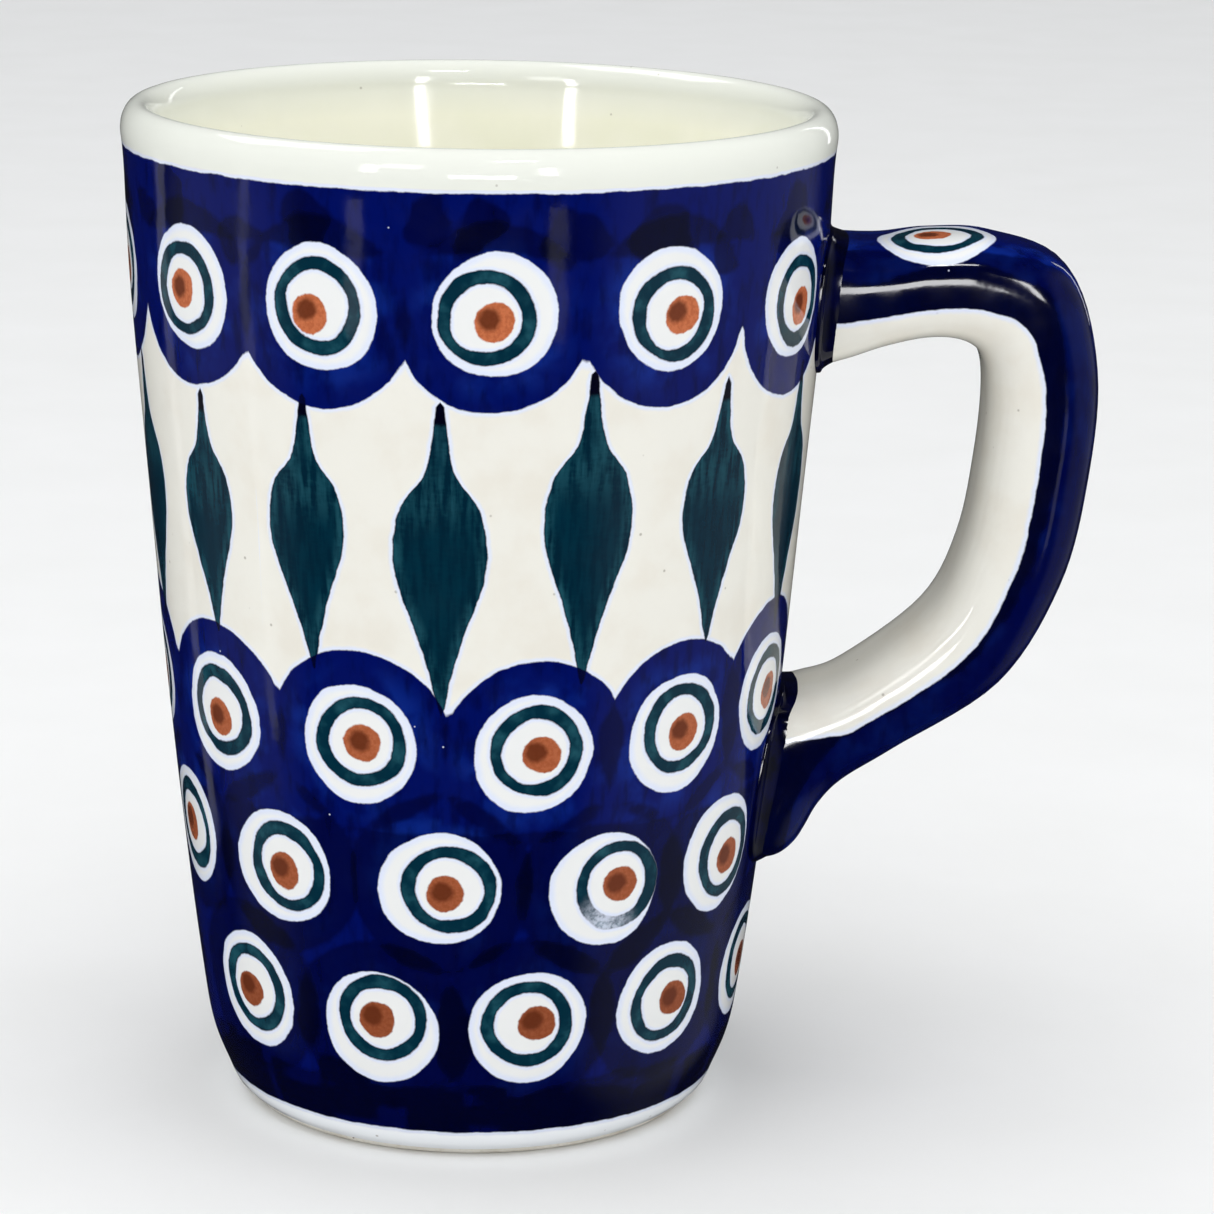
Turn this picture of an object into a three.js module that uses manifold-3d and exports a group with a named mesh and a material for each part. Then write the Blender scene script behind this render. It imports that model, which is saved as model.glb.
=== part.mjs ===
// A tapered stoneware mug with a luted strap handle and separate glaze coats.
// Units are millimetres and +Z is up. The mug stands on z = 0 and its handle points along +X.

import * as THREE from 'three';
import { mergeVertices } from 'three/addons/utils/BufferGeometryUtils.js';
import Module from 'manifold-3d';

const wasm = await Module();
wasm.setup();

// ---------------------------------------------------------------- driving dimensions

const HEIGHT = 127;
const RIM_RADIUS = 44.2;
const LIP_THICKNESS = 4.3;
const LIP_HALF_HEIGHT = 3.3;
const RIM_COAT_EDGE = 122.6;
const RIM_COAT_INSET = 0.1;
const FLOOR_TOP = 8.6;
const FLOOR_ROUNDING = 12;
const FLOOR_ARC_DEGREES = 84;
const FLOOR_ARC_STEPS = 4;
const FLOOR_ARC_INSET = 1.1;

const FOOT_RADIUS = 29.0;
const FOOT_RING_INSIDE = 23.7;
const FOOT_BEVEL = 1.0;
const FOOT_INNER_BEVEL = 0.4;
const FOOT_RECESS = 2.4;
const BARE_FOOT_HEIGHT = 1.0;
const FOOT_SIDE_FLARE = 0.5;
const BASE_RADIUS = FOOT_RING_INSIDE - FOOT_RECESS / 2;

const GLAZE = 0.5;
const COAT_GAP = 0.2;
const CUT_GAP = 0.3;
const CLAY_INSET = GLAZE + COAT_GAP;

const COLLAR_HEIGHT = 1.9;
const COLLAR_SPREAD = 1.2;
const UPPER_JOINT_REACH = 0.17;
const LOWER_JOINT_REACH = 0.42;

const SEGMENTS = 40;
const WALL_STEPS = 8;
const LIP_STEPS = 6;
const SECTION_POINTS = 14;
const HANDLE_STEPS = 36;
const SECTION_EXPONENT = 3.2;

// Glazed outside of the wall, as [radius, height], from the foot's edge up to the lip.
const WALL_OUTLINE = [
  [30.7, 2.2],
  [31.5, 4.0],
  [33.4, 9.0],
  [34.6, 16.0],
  [36.6, 32.0],
  [38.9, 54.0],
  [41.1, 80.0],
  [43.1, 104.0],
  [43.8, 119.0],
];

// Inside of the wall, as [radius, height], from under the lip down to the floor's curve.
const INSIDE_OUTLINE = [
  [38.2, 112.0],
  [31.4, 32.0],
];

// Handle sections from the upper joint to the lower one: the glazed section's inner edge [x, z],
// its outer edge [x, z], and its width along Y. Both ends lie inside the cup's wall, and the
// lower one is a tongue that runs down the wall.
const HANDLE_SECTIONS = [
  [34.5, 94.6, 34.5, 111.9, 20.5],
  [41.5, 95.0, 41.3, 111.4, 20.5],
  [45.6, 96.0, 45.2, 111.0, 21.0],
  [50.7, 97.8, 50.2, 110.9, 21.5],
  [56.0, 98.9, 56.2, 111.6, 21.5],
  [60.2, 98.5, 64.0, 111.3, 21.5],
  [62.7, 96.4, 73.4, 107.4, 21.5],
  [63.5, 91.5, 77.3, 95.0, 21.5],
  [62.9, 82.5, 76.6, 80.6, 21.5],
  [61.1, 72.2, 73.7, 67.6, 21.5],
  [56.9, 63.5, 66.4, 55.0, 21.5],
  [47.0, 55.6, 53.2, 46.2, 21.5],
  [41.5, 53.6, 46.8, 42.0, 21.5],
  [37.0, 52.6, 43.9, 38.8, 22.0],
  [33.0, 49.5, 42.4, 36.0, 22.5],
  [30.0, 44.0, 41.3, 34.2, 23.0],
  [28.5, 40.0, 39.9, 32.9, 23.0],
  [27.5, 38.0, 38.4, 32.2, 22.0],
  [27.0, 36.5, 35.6, 31.8, 20.0],
];

// ---------------------------------------------------------------- outlines

const point = ([radius, height]) => new THREE.Vector2(radius, height);

// Points along an elliptical arc, between two angles in degrees.
function arc(centre, radii, fromDegrees, toDegrees, steps) {
  const points = [];
  for (let i = 0; i <= steps; i += 1) {
    const degrees = THREE.MathUtils.lerp(fromDegrees, toDegrees, i / steps);
    const angle = THREE.MathUtils.degToRad(degrees);
    points.push(point([centre[0] + radii[0] * Math.cos(angle), centre[1] + radii[1] * Math.sin(angle)]));
  }
  return points;
}

// The outline moved sideways: a positive distance moves an upward outline away from the axis.
function offset(points, distance) {
  return points.map((current, i) => {
    const before = points[Math.max(i - 1, 0)];
    const after = points[Math.min(i + 1, points.length - 1)];
    const along = after.clone().sub(before).normalize();
    return point([current.x + along.y * distance, current.y - along.x * distance]);
  });
}

const wallCurve = new THREE.SplineCurve(WALL_OUTLINE.map(point));
const lipCentre = [RIM_RADIUS - LIP_THICKNESS / 2, HEIGHT - LIP_HALF_HEIGHT];
const lipRadii = [LIP_THICKNESS / 2, LIP_HALF_HEIGHT];

// The glazed surface: the outside up to the paint's edge, then over the lip and down to the floor.
const footSide = point([FOOT_RADIUS + FOOT_SIDE_FLARE, BARE_FOOT_HEIGHT + CUT_GAP]);
const rimEdgeRadius = RIM_RADIUS - RIM_COAT_INSET;
const outerWall = [footSide, ...wallCurve.getPoints(WALL_STEPS)];
const outsideRun = [...outerWall, point([rimEdgeRadius, RIM_COAT_EDGE])];
const lip = arc(lipCentre, lipRadii, 0, 180, LIP_STEPS);
const insideWall = INSIDE_OUTLINE.map(point);
const floorCentre = [
  insideWall[insideWall.length - 1].x - FLOOR_ROUNDING - FLOOR_ARC_INSET,
  FLOOR_TOP + FLOOR_ROUNDING,
];
const floorRadii = [FLOOR_ROUNDING, FLOOR_ROUNDING];
const floorArc = arc(floorCentre, floorRadii, 0, -FLOOR_ARC_DEGREES, FLOOR_ARC_STEPS);
const floorMiddle = point([0, FLOOR_TOP]);
const insideRun = [...lip, ...insideWall, ...floorArc, floorMiddle];

// ---------------------------------------------------------------- solids

// The geometry as a manifold solid, with its vertices shared.
function toSolid(geometry) {
  geometry.deleteAttribute('normal');
  geometry.deleteAttribute('uv');
  const merged = mergeVertices(geometry, 1e-4);
  return new wasm.Manifold(new wasm.Mesh({
    numProp: 3,
    vertProperties: new Float32Array(merged.attributes.position.array),
    triVerts: new Uint32Array(merged.index.array),
  }));
}

function toGeometry(solid) {
  const mesh = solid.getMesh();
  const geometry = new THREE.BufferGeometry();
  geometry.setAttribute('position', new THREE.BufferAttribute(mesh.vertProperties, 3));
  geometry.setIndex(new THREE.BufferAttribute(mesh.triVerts, 1));
  geometry.computeVertexNormals();
  return geometry;
}

// A closed outline turned about the cup's axis.
function revolve(outline) {
  const geometry = new THREE.LatheGeometry(outline, SEGMENTS);
  geometry.rotateX(Math.PI / 2);
  return toSolid(geometry);
}

// A coat: the layer under a run of the glazed surface. Its run may end on the axis.
function coatSolid(run, endsOnAxis) {
  const under = offset(run, -GLAZE);
  if (endsOnAxis) {
    const top = point([0, run[run.length - 1].y]);
    const bottom = point([0, under[under.length - 1].y]);
    return revolve([bottom, ...under.reverse(), ...run, top]);
  }
  return revolve([...run, ...under.reverse(), run[0]]);
}

// Everything within the outer wall, grown by a distance.
function withinWall(distance) {
  const grown = offset(outerWall, distance);
  const low = point([0, grown[0].y]);
  const high = point([0, grown[grown.length - 1].y]);
  return revolve([low, ...grown, high]);
}

const innerEdge = new THREE.CatmullRomCurve3(
  HANDLE_SECTIONS.map(([x, z]) => new THREE.Vector3(x, 0, z)),
);
// The outer edge's y holds half of the section's width.
const outerEdge = new THREE.CatmullRomCurve3(
  HANDLE_SECTIONS.map(([, , x, z, width]) => new THREE.Vector3(x, width / 2, z)),
);

const flattened = (value) => Math.sign(value) * Math.abs(value) ** (2 / SECTION_EXPONENT);

// One ring of the handle: a rounded oblong between its inner and outer edges, grown by a distance.
function handleRing(t, distance) {
  const inner = innerEdge.getPoint(t);
  const outer = outerEdge.getPoint(t);
  const halfWidth = outer.y + distance;
  outer.y = 0;
  const centre = inner.clone().add(outer).divideScalar(2);
  const across = outer.clone().sub(centre);
  across.setLength(across.length() + distance);
  const ring = [];
  for (let i = 0; i < SECTION_POINTS; i += 1) {
    const angle = 2 * Math.PI * i / SECTION_POINTS;
    const place = centre.clone().addScaledVector(across, flattened(Math.cos(angle)));
    place.y = halfWidth * flattened(Math.sin(angle));
    ring.push(place);
  }
  return { centre, ring };
}

// A stretch of the handle, from one fraction of its length to another, closed by flat ends.
function handleSolid(distance, from = 0, to = 1) {
  const steps = Math.round(HANDLE_STEPS * (to - from));
  const vertices = [];
  const faces = [];
  for (let row = 0; row <= steps; row += 1) {
    const { centre, ring } = handleRing(THREE.MathUtils.lerp(from, to, row / steps), distance);
    ring.forEach((place) => vertices.push(...place));
    if (row === 0 || row === steps) {
      vertices.push(...centre);
    }
  }
  // The first ring is followed by its centre, and so is the last.
  const startOf = (row) => row * SECTION_POINTS + (row > 0 ? 1 : 0);
  const firstCentre = SECTION_POINTS;
  const lastCentre = startOf(steps) + SECTION_POINTS;
  for (let i = 0; i < SECTION_POINTS; i += 1) {
    const next = (i + 1) % SECTION_POINTS;
    faces.push(firstCentre, i, next);
    faces.push(lastCentre, startOf(steps) + next, startOf(steps) + i);
    for (let row = 0; row < steps; row += 1) {
      const a = startOf(row);
      const b = startOf(row + 1);
      faces.push(a + i, b + next, a + next);
      faces.push(a + i, b + i, b + next);
    }
  }
  const geometry = new THREE.BufferGeometry();
  geometry.setAttribute('position', new THREE.Float32BufferAttribute(vertices, 3));
  geometry.setIndex(faces);
  return toSolid(geometry);
}

// ---------------------------------------------------------------- the mug's pieces

// The thrown clay body: wall, floor and the bare foot ring that it stands on.
function cupBody() {
  const foot = [
    point([0, FOOT_RECESS + CLAY_INSET]),
    point([BASE_RADIUS, FOOT_RECESS + CLAY_INSET]),
    point([FOOT_RING_INSIDE - FOOT_INNER_BEVEL, FOOT_INNER_BEVEL]),
    point([FOOT_RING_INSIDE, 0]),
    point([FOOT_RADIUS - FOOT_BEVEL, 0]),
    point([FOOT_RADIUS, FOOT_BEVEL]),
  ];
  const clay = offset([...outsideRun, ...insideRun], -CLAY_INSET);
  const middle = point([0, FLOOR_TOP - CLAY_INSET]);
  return revolve([...foot, ...clay.slice(0, -1), middle]);
}

// The clear coat over the painted outside, with windows where the slip collars sit.
function outerGlaze() {
  const upper = handleSolid(COLLAR_SPREAD + CUT_GAP, 0, UPPER_JOINT_REACH);
  const lower = handleSolid(COLLAR_SPREAD + CUT_GAP, 1 - LOWER_JOINT_REACH, 1);
  return coatSolid(outsideRun, false).subtract(upper).subtract(lower);
}

// The cream coat over the lip, the inside wall and the floor.
function innerGlaze() {
  const edge = point([rimEdgeRadius, RIM_COAT_EDGE + CUT_GAP]);
  return coatSolid([edge, ...insideRun.slice(0, -1)], true);
}

// The coat on the underside, inside the foot ring.
function baseGlaze() {
  const radius = BASE_RADIUS - CUT_GAP;
  return revolve([
    point([0, FOOT_RECESS]),
    point([radius, FOOT_RECESS]),
    point([radius, FOOT_RECESS + GLAZE]),
    point([0, FOOT_RECESS + GLAZE]),
  ]);
}

// The cast clay strap, cut to meet the cup's wall.
function handleCore() {
  return handleSolid(-CLAY_INSET).subtract(withinWall(CUT_GAP - CLAY_INSET));
}

// The coat round the strap, between the two collars.
function handleGlaze() {
  const sleeve = handleSolid(0).subtract(handleSolid(-GLAZE));
  return sleeve.subtract(withinWall(COLLAR_HEIGHT + CUT_GAP));
}

// A collar of glazed slip, pressed round the joint between the strap and the wall.
function slipCollar(from, to) {
  const band = withinWall(COLLAR_HEIGHT).subtract(withinWall(CUT_GAP - CLAY_INSET));
  const around = handleSolid(COLLAR_SPREAD, from, to).intersect(band);
  return around.subtract(handleSolid(CUT_GAP - CLAY_INSET));
}

// ---------------------------------------------------------------- assembly

const CLAY = { color: 0xd8cfbf, roughness: 0.8, metalness: 0 };
const CREAM = { color: 0xeaeada, roughness: 0.12, metalness: 0 };
const COBALT = { color: 0x14205c, roughness: 0.1, metalness: 0 };
const DARK_COBALT = { color: 0x0c1230, roughness: 0.15, metalness: 0 };

const group = new THREE.Group();

function add(name, solid, finish) {
  const mesh = new THREE.Mesh(toGeometry(solid), new THREE.MeshStandardMaterial(finish));
  mesh.name = name;
  group.add(mesh);
}

add('cup_body', cupBody(), CLAY);
add('inner_glaze', innerGlaze(), CREAM);
add('outer_glaze', outerGlaze(), COBALT);
add('base_glaze', baseGlaze(), CREAM);
add('handle', handleCore(), CLAY);
add('handle_glaze', handleGlaze(), COBALT);
add('upper_slip_collar', slipCollar(0, UPPER_JOINT_REACH), DARK_COBALT);
add('lower_slip_collar', slipCollar(1 - LOWER_JOINT_REACH, 1), DARK_COBALT);

// The origin is the middle of the whole mug's footprint, handle included.
const bounds = new THREE.Box3().setFromObject(group);
group.position.x = -(bounds.min.x + bounds.max.x) / 2;

export default group;
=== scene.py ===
"""Looks for the tapered stoneware mug: a hand-stamped, underglaze-painted cup with a strap handle.

Shapes are worked out in millimetres from the cup's axis and placed in the frame at the end.
The painting is held as signed distances in millimetres on each vertex, positive inside a mark,
and the materials turn those distances into brushed and stamped pigment, and into painted shade
on the handle's sides.
"""

import math

import bpy
import numpy as np
from mathutils import Matrix, Vector


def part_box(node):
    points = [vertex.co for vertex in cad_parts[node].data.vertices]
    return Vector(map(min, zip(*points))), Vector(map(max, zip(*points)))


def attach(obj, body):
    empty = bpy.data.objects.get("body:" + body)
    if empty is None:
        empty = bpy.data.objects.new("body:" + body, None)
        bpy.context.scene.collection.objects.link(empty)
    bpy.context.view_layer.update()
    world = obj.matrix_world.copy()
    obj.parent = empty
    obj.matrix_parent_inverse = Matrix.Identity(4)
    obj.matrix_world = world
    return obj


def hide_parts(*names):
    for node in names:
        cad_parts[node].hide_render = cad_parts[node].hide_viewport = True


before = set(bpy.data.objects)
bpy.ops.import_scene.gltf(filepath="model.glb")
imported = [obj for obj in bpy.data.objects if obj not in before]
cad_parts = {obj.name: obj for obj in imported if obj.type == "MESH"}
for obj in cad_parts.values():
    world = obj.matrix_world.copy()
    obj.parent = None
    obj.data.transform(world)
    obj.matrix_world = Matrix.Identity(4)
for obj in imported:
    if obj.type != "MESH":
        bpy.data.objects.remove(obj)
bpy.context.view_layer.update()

# ---------------------------------------------------------------- driving dimensions (mm)

MM = 0.001
BODY_LOW, BODY_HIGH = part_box("cup_body")
LIP_LOW, LIP_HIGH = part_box("inner_glaze")
AXIS_X = (BODY_LOW.x + BODY_HIGH.x) / 2 / MM
HEIGHT = LIP_HIGH.z / MM
RIM_RADIUS = (LIP_HIGH.x - LIP_LOW.x) / 2 / MM

LIP_THICKNESS = 4.3
LIP_HALF_HEIGHT = 3.3
LIP_CENTRE = (RIM_RADIUS - LIP_THICKNESS / 2, HEIGHT - LIP_HALF_HEIGHT)
RIM_COAT_EDGE = 122.6
PAINT_TOP = 122.15
PAINT_FOOT = 3.9
GLAZE = 0.5
CLAY_INSET = 0.7
FLOOR_TOP = 8.6
FLOOR_ROUNDING = 12.0
FLOOR_INSET = 1.1
LIP_FADE_LOW = 7.0
LIP_FADE = 5.0

FOOT_RADIUS = 29.0
FOOT_RING_INSIDE = 23.7
FOOT_BEVEL = 1.0
FOOT_INNER_BEVEL = 0.5
FOOT_RECESS = 2.4
BARE_FOOT = 0.9
BASE_EDGE_GAP = 0.3
BASE_EDGE_ROUNDING = 1.0
BASE_SAG = 0.35
BASE_MIDDLE_EXTRA = 0.15

# Glazed outside of the wall as (radius, height), from the foot to just under the lip.
WALL_OUTLINE = (
    (29.3, BARE_FOOT), (30.7, 2.2), (31.5, 4.0), (33.4, 9.0), (34.6, 16.0), (36.6, 32.0),
    (38.9, 54.0), (41.1, 80.0), (43.1, 104.0), (43.8, 119.0), (44.1, RIM_COAT_EDGE),
)
# Glazed inside of the wall as (radius, height), from the lip down to the start of the floor's curve.
INSIDE_OUTLINE = (
    (39.9, 123.7), (39.1, 119.5), (38.35, 114.5), (37.75, 108.0), (36.6, 95.0), (34.0, 64.0),
    (31.4, 32.0),
)

# Handle sections from the upper joint to the lower one: inner edge (x, z), outer edge (x, z), width.
HANDLE_SECTIONS = (
    (34.5, 94.6, 34.5, 111.9, 20.5), (41.5, 95.0, 41.3, 111.4, 20.5), (45.6, 96.0, 45.2, 111.0, 21.0),
    (50.7, 97.8, 50.2, 110.9, 21.5), (56.0, 98.9, 56.2, 111.6, 21.5), (60.2, 98.5, 64.0, 111.3, 21.5),
    (62.7, 96.4, 73.4, 107.4, 21.5), (63.5, 91.5, 77.3, 95.0, 21.5), (62.9, 82.5, 76.6, 80.6, 21.5),
    (61.1, 72.2, 73.7, 67.6, 21.5), (56.9, 63.5, 66.4, 55.0, 21.5), (47.0, 55.6, 53.2, 46.2, 21.5),
    (41.5, 53.6, 46.8, 42.0, 21.5), (37.0, 52.6, 43.9, 38.8, 22.0), (33.0, 49.5, 42.4, 36.0, 22.5),
    (30.0, 44.0, 41.3, 34.2, 23.0), (28.5, 40.0, 39.9, 32.9, 23.0), (27.5, 38.0, 38.4, 32.2, 22.0),
    (27.0, 36.5, 35.6, 31.8, 20.0),
)
SECTION_EXPONENT = 3.2
ROOT_DEPTH = 1.6
CUFF_STEP = 0.55
CUFF_DEPTH = 0.9
CUFF_BRIM = 0.72
CUFF_BEND = 0.3
CUFF_SINK = 0.12
CUFF_NEAR = 0.22
# A cuff's edge on the wall, as (share of its reach, share of its step).
CUFF_EDGE = ((1.0, 0.0), (0.97, 0.5), (0.88, 0.85))

# ---------------------------------------------------------------- the painted pattern (mm, degrees)

# Azimuths run from the handle (0), and the side opposite the handle is at -180. Each row of eyes
# gives its number of stamps, the azimuth of its last stamp, and its first stamps as (azimuth, height,
# hoop shift along and up, pupil shift along and up). The rest of the row is spaced evenly.
EYE_ROWS = (
    (12, -331.0, ((-28.3, 106.6, 1.0, -0.5, 1.6, -1.3), (-58.4, 108.0, 0.3, -0.7, 1.3, -0.9),
                  (-87.4, 108.0, -1.0, -0.3, -0.1, -0.8), (-115.2, 108.0, -0.3, 0.1, -1.3, -0.9),
                  (-142.5, 108.1, -0.8, -0.3, -1.2, -0.4), (-172.9, 107.8, 0.2, 0.1, 0.5, -0.5))),
    (11, -336.6, ((-23.4, 56.4, 0.6, 0.0, 1.2, -0.3), (-51.0, 54.9, 0.5, 0.6, 0.9, 0.0),
                  (-79.5, 54.3, 0.4, 0.4, 1.0, -0.1), (-110.8, 54.9, 0.3, 0.3, 0.5, 0.2),
                  (-142.3, 55.3, 0.1, 0.2, -0.2, -0.7))),
    (10, -326.6, ((-35.0, 37.2, 1.4, -0.3, 2.0, -1.0), (-64.3, 36.1, 1.7, 0.3, 2.0, 0.4),
                  (-96.3, 37.0, 1.2, 0.0, 0.7, -0.6), (-129.0, 37.3, 0.9, 0.1, 0.5, -0.5),
                  (-159.9, 37.9, 0.0, 0.0, -0.6, 0.0))),
    (11, -342.3, ((-15.0, 19.5, 0.3, 0.2, 0.8, -0.4), (-47.6, 19.7, 0.5, -0.1, 1.7, -0.4),
                  (-78.6, 18.6, -0.1, 0.5, 1.0, 0.5), (-108.7, 18.1, 0.3, 1.3, -0.3, 1.0),
                  (-140.5, 19.4, 0.1, 0.2, -0.6, -0.3), (-184.0, 18.8, 0.4, 0.0, 0.2, 0.4))),
)
SMUDGED_EYE = (-64.3, 36.1)
SMUDGE_SHIFT = (-0.4, -1.15)
SMUDGE_RADIUS = 2.7
DISC_RADIUS = 11.5
DISC_LEAN = 0.32
DISC_SHIFT = 0.25
RING_INSIDE = 4.1
# An eye's shapes as (radius, wobble of the edge): the hoop is a ring with the hole taken out of it.
EYE_SHAPES = {
    "white": (7.35, 0.4), "hoop": (5.75, 0.3), "hole": (RING_INSIDE, 0.3), "pupil": (2.38, 0.2),
    "spot": (1.25, 0.15),
}
SPOT_SHIFT = (-0.55, 0.35)
SPOT_STRAY = 0.25
HOLE_STRAY = 0.15
TOP_BAND = 114.5
TOP_FIELD = 104.6
FOOT_BAND = 9.5
BAND_WAVES = 9
SCALLOP_FIELD = 54.5
LOW_FILL = 44.5
BARE_BAND_MIDDLE = 80.0

# Dabs over the top band and strokes over the foot band, each a range to draw from.
STROKE_GAP = 14.4
STROKE_STRAY = 4.0
DAB_SIZES = (2.6, 4.4)
DAB_HEIGHTS = (113.5, 119.0)
STROKE_WIDTHS = (3.4, 5.0)
STROKE_HEIGHTS = (5.0, 9.0)
STROKE_REACHES = (3.0, 5.0)

# Leaves as (azimuth, top, bottom, widest half-width), and the rest of the ring spaced evenly.
LEAF_COUNT = 15
LEAF_LAST = -353.0
LEAF_REACH = 6.6
LEAF_LEAN = 0.5
LEAVES = (
    (-22.0, 98.0, 64.0, 5.2), (-46.0, 98.5, 66.1, 5.3), (-71.5, 100.8, 63.1, 5.5), (-95.8, 97.4, 59.5, 5.6),
    (-118.7, 97.3, 64.0, 5.1), (-140.9, 95.7, 65.9, 4.7),
)
# Half-width of a leaf, as a share of its widest, at each share of its length from the tip.
LEAF_OUTLINE = (
    (0.0, 0.07), (0.02, 0.10), (0.06, 0.12), (0.13, 0.19), (0.19, 0.26), (0.24, 0.38), (0.285, 0.62),
    (0.335, 0.84), (0.42, 0.98), (0.49, 1.0), (0.56, 0.94), (0.62, 0.82), (0.70, 0.62), (0.78, 0.43),
    (0.88, 0.23), (0.95, 0.13), (1.0, 0.06),
)

# How far each stamp strays: an eye's height and its four shifts, a leaf's top, bottom and width.
EYE_SPREAD = (0.7, 0.3, 0.3, 0.4, 0.4)
LEAF_SPREAD = (1.0, 1.0, 0.2)
RING_STRAY = 0.5
NOWHERE = -20.0

SEED = 7
rng = np.random.default_rng(SEED)


def whole_ring(count, last, marks, spread):
    """The marks given, then the rest of the ring at even gaps, each a little different from a given one."""
    gap = (marks[-1][0] - last) / (count - len(marks))
    ring = list(marks)
    for i in range(count - len(marks)):
        like = marks[i % len(marks)][1:]
        varied = [value + rng.uniform(-most, most) for value, most in zip(like, spread)]
        azimuth = marks[-1][0] - gap * (i + 1) + rng.uniform(-RING_STRAY, RING_STRAY)
        ring.append((azimuth, *varied))
    return ring


EYES = [eye for row in EYE_ROWS for eye in whole_ring(*row, EYE_SPREAD)]
LEAF_RING = whole_ring(LEAF_COUNT, LEAF_LAST, LEAVES, LEAF_SPREAD)

# ---------------------------------------------------------------- curves and meshes


def smooth_line(points, steps):
    """A smooth line through the points, with that many steps between each pair."""
    points = np.asarray(points, float)
    ends = np.vstack([2 * points[0] - points[1], points, 2 * points[-1] - points[-2]])
    t = np.arange(steps)[:, None] / steps
    runs = []
    for i in range(len(points) - 1):
        a, b, c, d = ends[i:i + 4]
        runs.append(0.5 * (2 * b + (c - a) * t + (2 * a - 5 * b + 4 * c - d) * t**2
                           + (3 * b - a - 3 * c + d) * t**3))
    return np.vstack([*runs, points[-1:]])


def even_steps(line, spacing):
    """The line resampled at even steps of about that length."""
    length = np.r_[0, np.cumsum(np.linalg.norm(np.diff(line, axis=0), axis=1))]
    places = np.linspace(0, length[-1], int(round(length[-1] / spacing)) + 1)
    return np.column_stack([np.interp(places, length, line[:, k]) for k in range(line.shape[1])])


def arc(centre, radii, first, last, steps):
    """Points on an elliptical arc between two angles in degrees."""
    angle = np.radians(np.linspace(first, last, steps + 1))
    return np.column_stack([centre[0] + radii[0] * np.cos(angle), centre[1] + radii[1] * np.sin(angle)])


def offset(line, distance):
    """The outline moved sideways: a positive distance moves an upward outline away from the axis."""
    along = np.gradient(line, axis=0)
    along /= np.linalg.norm(along, axis=1)[:, None]
    return line + distance * np.column_stack([along[:, 1], -along[:, 0]])


def turned(line, azimuths):
    """Rows of points: the outline's points at each azimuth."""
    angle = np.radians(azimuths)
    x = line[:, :1] * np.cos(angle)
    y = line[:, :1] * np.sin(angle)
    return np.stack([x, y, np.repeat(line[:, 1:2], len(azimuths), axis=1)], axis=-1)


def grid_faces(rows, columns, start=0, closed=False):
    """Quads over a grid of points numbered row by row."""
    last = columns if closed else columns - 1
    row, column = np.meshgrid(np.arange(rows - 1), np.arange(last), indexing="ij")
    across = (column + 1) % columns
    corners = [row * columns + column, row * columns + across, (row + 1) * columns + across,
               (row + 1) * columns + column]
    return (np.stack(corners, axis=-1).reshape(-1, 4) + start).tolist()


def make_piece(name, points, faces, material, marks=None, sharp=38):
    """A smooth-shaded mesh object in the frame from points in mm about the cup's axis."""
    placed = (np.asarray(points, float) + (AXIS_X, 0, 0)) * MM
    mesh = bpy.data.meshes.new(name)
    mesh.from_pydata(placed.tolist(), [], faces)
    mesh.update()
    for mark, values in (marks or {}).items():
        layer = mesh.attributes.new(mark, "FLOAT", "POINT")
        layer.data.foreach_set("value", np.asarray(values, np.float32))
    mesh.polygons.foreach_set("use_smooth", np.ones(len(mesh.polygons), bool))
    mesh.set_sharp_from_angle(angle=math.radians(sharp))
    mesh.materials.append(material)
    piece = bpy.data.objects.new(name, mesh)
    bpy.context.scene.collection.objects.link(piece)
    return piece


def revolved(name, outline, segments, material, marks=None):
    """A piece whose outline starts and ends on the cup's axis and is turned about it."""
    outline = np.asarray(outline, float)
    azimuths = np.arange(segments) * 360 / segments
    body = outline[1:-1]
    poles = [[0, 0, outline[0, 1]], [0, 0, outline[-1, 1]]]
    points = np.vstack([turned(body, azimuths).reshape(-1, 3), poles])
    faces = grid_faces(len(body), segments, closed=True)
    last = (len(body) - 1) * segments
    low, high = last + segments, last + segments + 1
    faces += [(low, (i + 1) % segments, i) for i in range(segments)]
    faces += [(high, last + i, last + (i + 1) % segments) for i in range(segments)]
    return make_piece(name, points, faces, material, marks(points) if marks else None)


# ---------------------------------------------------------------- distances that hold the painting


def turn_between(azimuths, centre):
    """Degrees from the centre to each azimuth, between -180 and 180."""
    return (azimuths - centre + 180) % 360 - 180


def wobbly(along, up, size, waves):
    """Distance inside a hand-cut round stamp of about that radius: positive inside."""
    angle = np.arctan2(up, along)
    edge = size
    for order, amount, phase in waves:
        edge = edge + amount * np.cos(order * angle + phase)
    return edge - np.hypot(along, up)


def random_waves(amount):
    """A few slow ripples for an edge, as (order, amount, phase)."""
    return [(order, amount * rng.uniform(0.4, 1.0) / order, rng.uniform(0, 2 * math.pi))
            for order in (2, 3, 5)]


def stamp_eye(marks, along, up, ring, pupil):
    """Adds one eye, at distances along and up from its middle, to the marks made so far."""
    hole = ring + rng.uniform(-HOLE_STRAY, HOLE_STRAY, 2)
    spot = pupil + rng.uniform(-SPOT_STRAY, SPOT_STRAY, 2) + SPOT_SHIFT
    middles = {"white": (0, 0), "hoop": ring, "hole": hole, "pupil": pupil, "spot": spot}
    for mark, (x, z) in middles.items():
        radius, wobble = EYE_SHAPES[mark]
        inside_by = wobbly(along - x, up - z, radius, random_waves(wobble))
        marks[mark] = np.maximum(marks[mark], inside_by)


def blank_marks(count):
    """Marks that are nowhere yet."""
    return {mark: np.full(count, NOWHERE) for mark in (*EYE_SHAPES, "smudge")}


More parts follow.
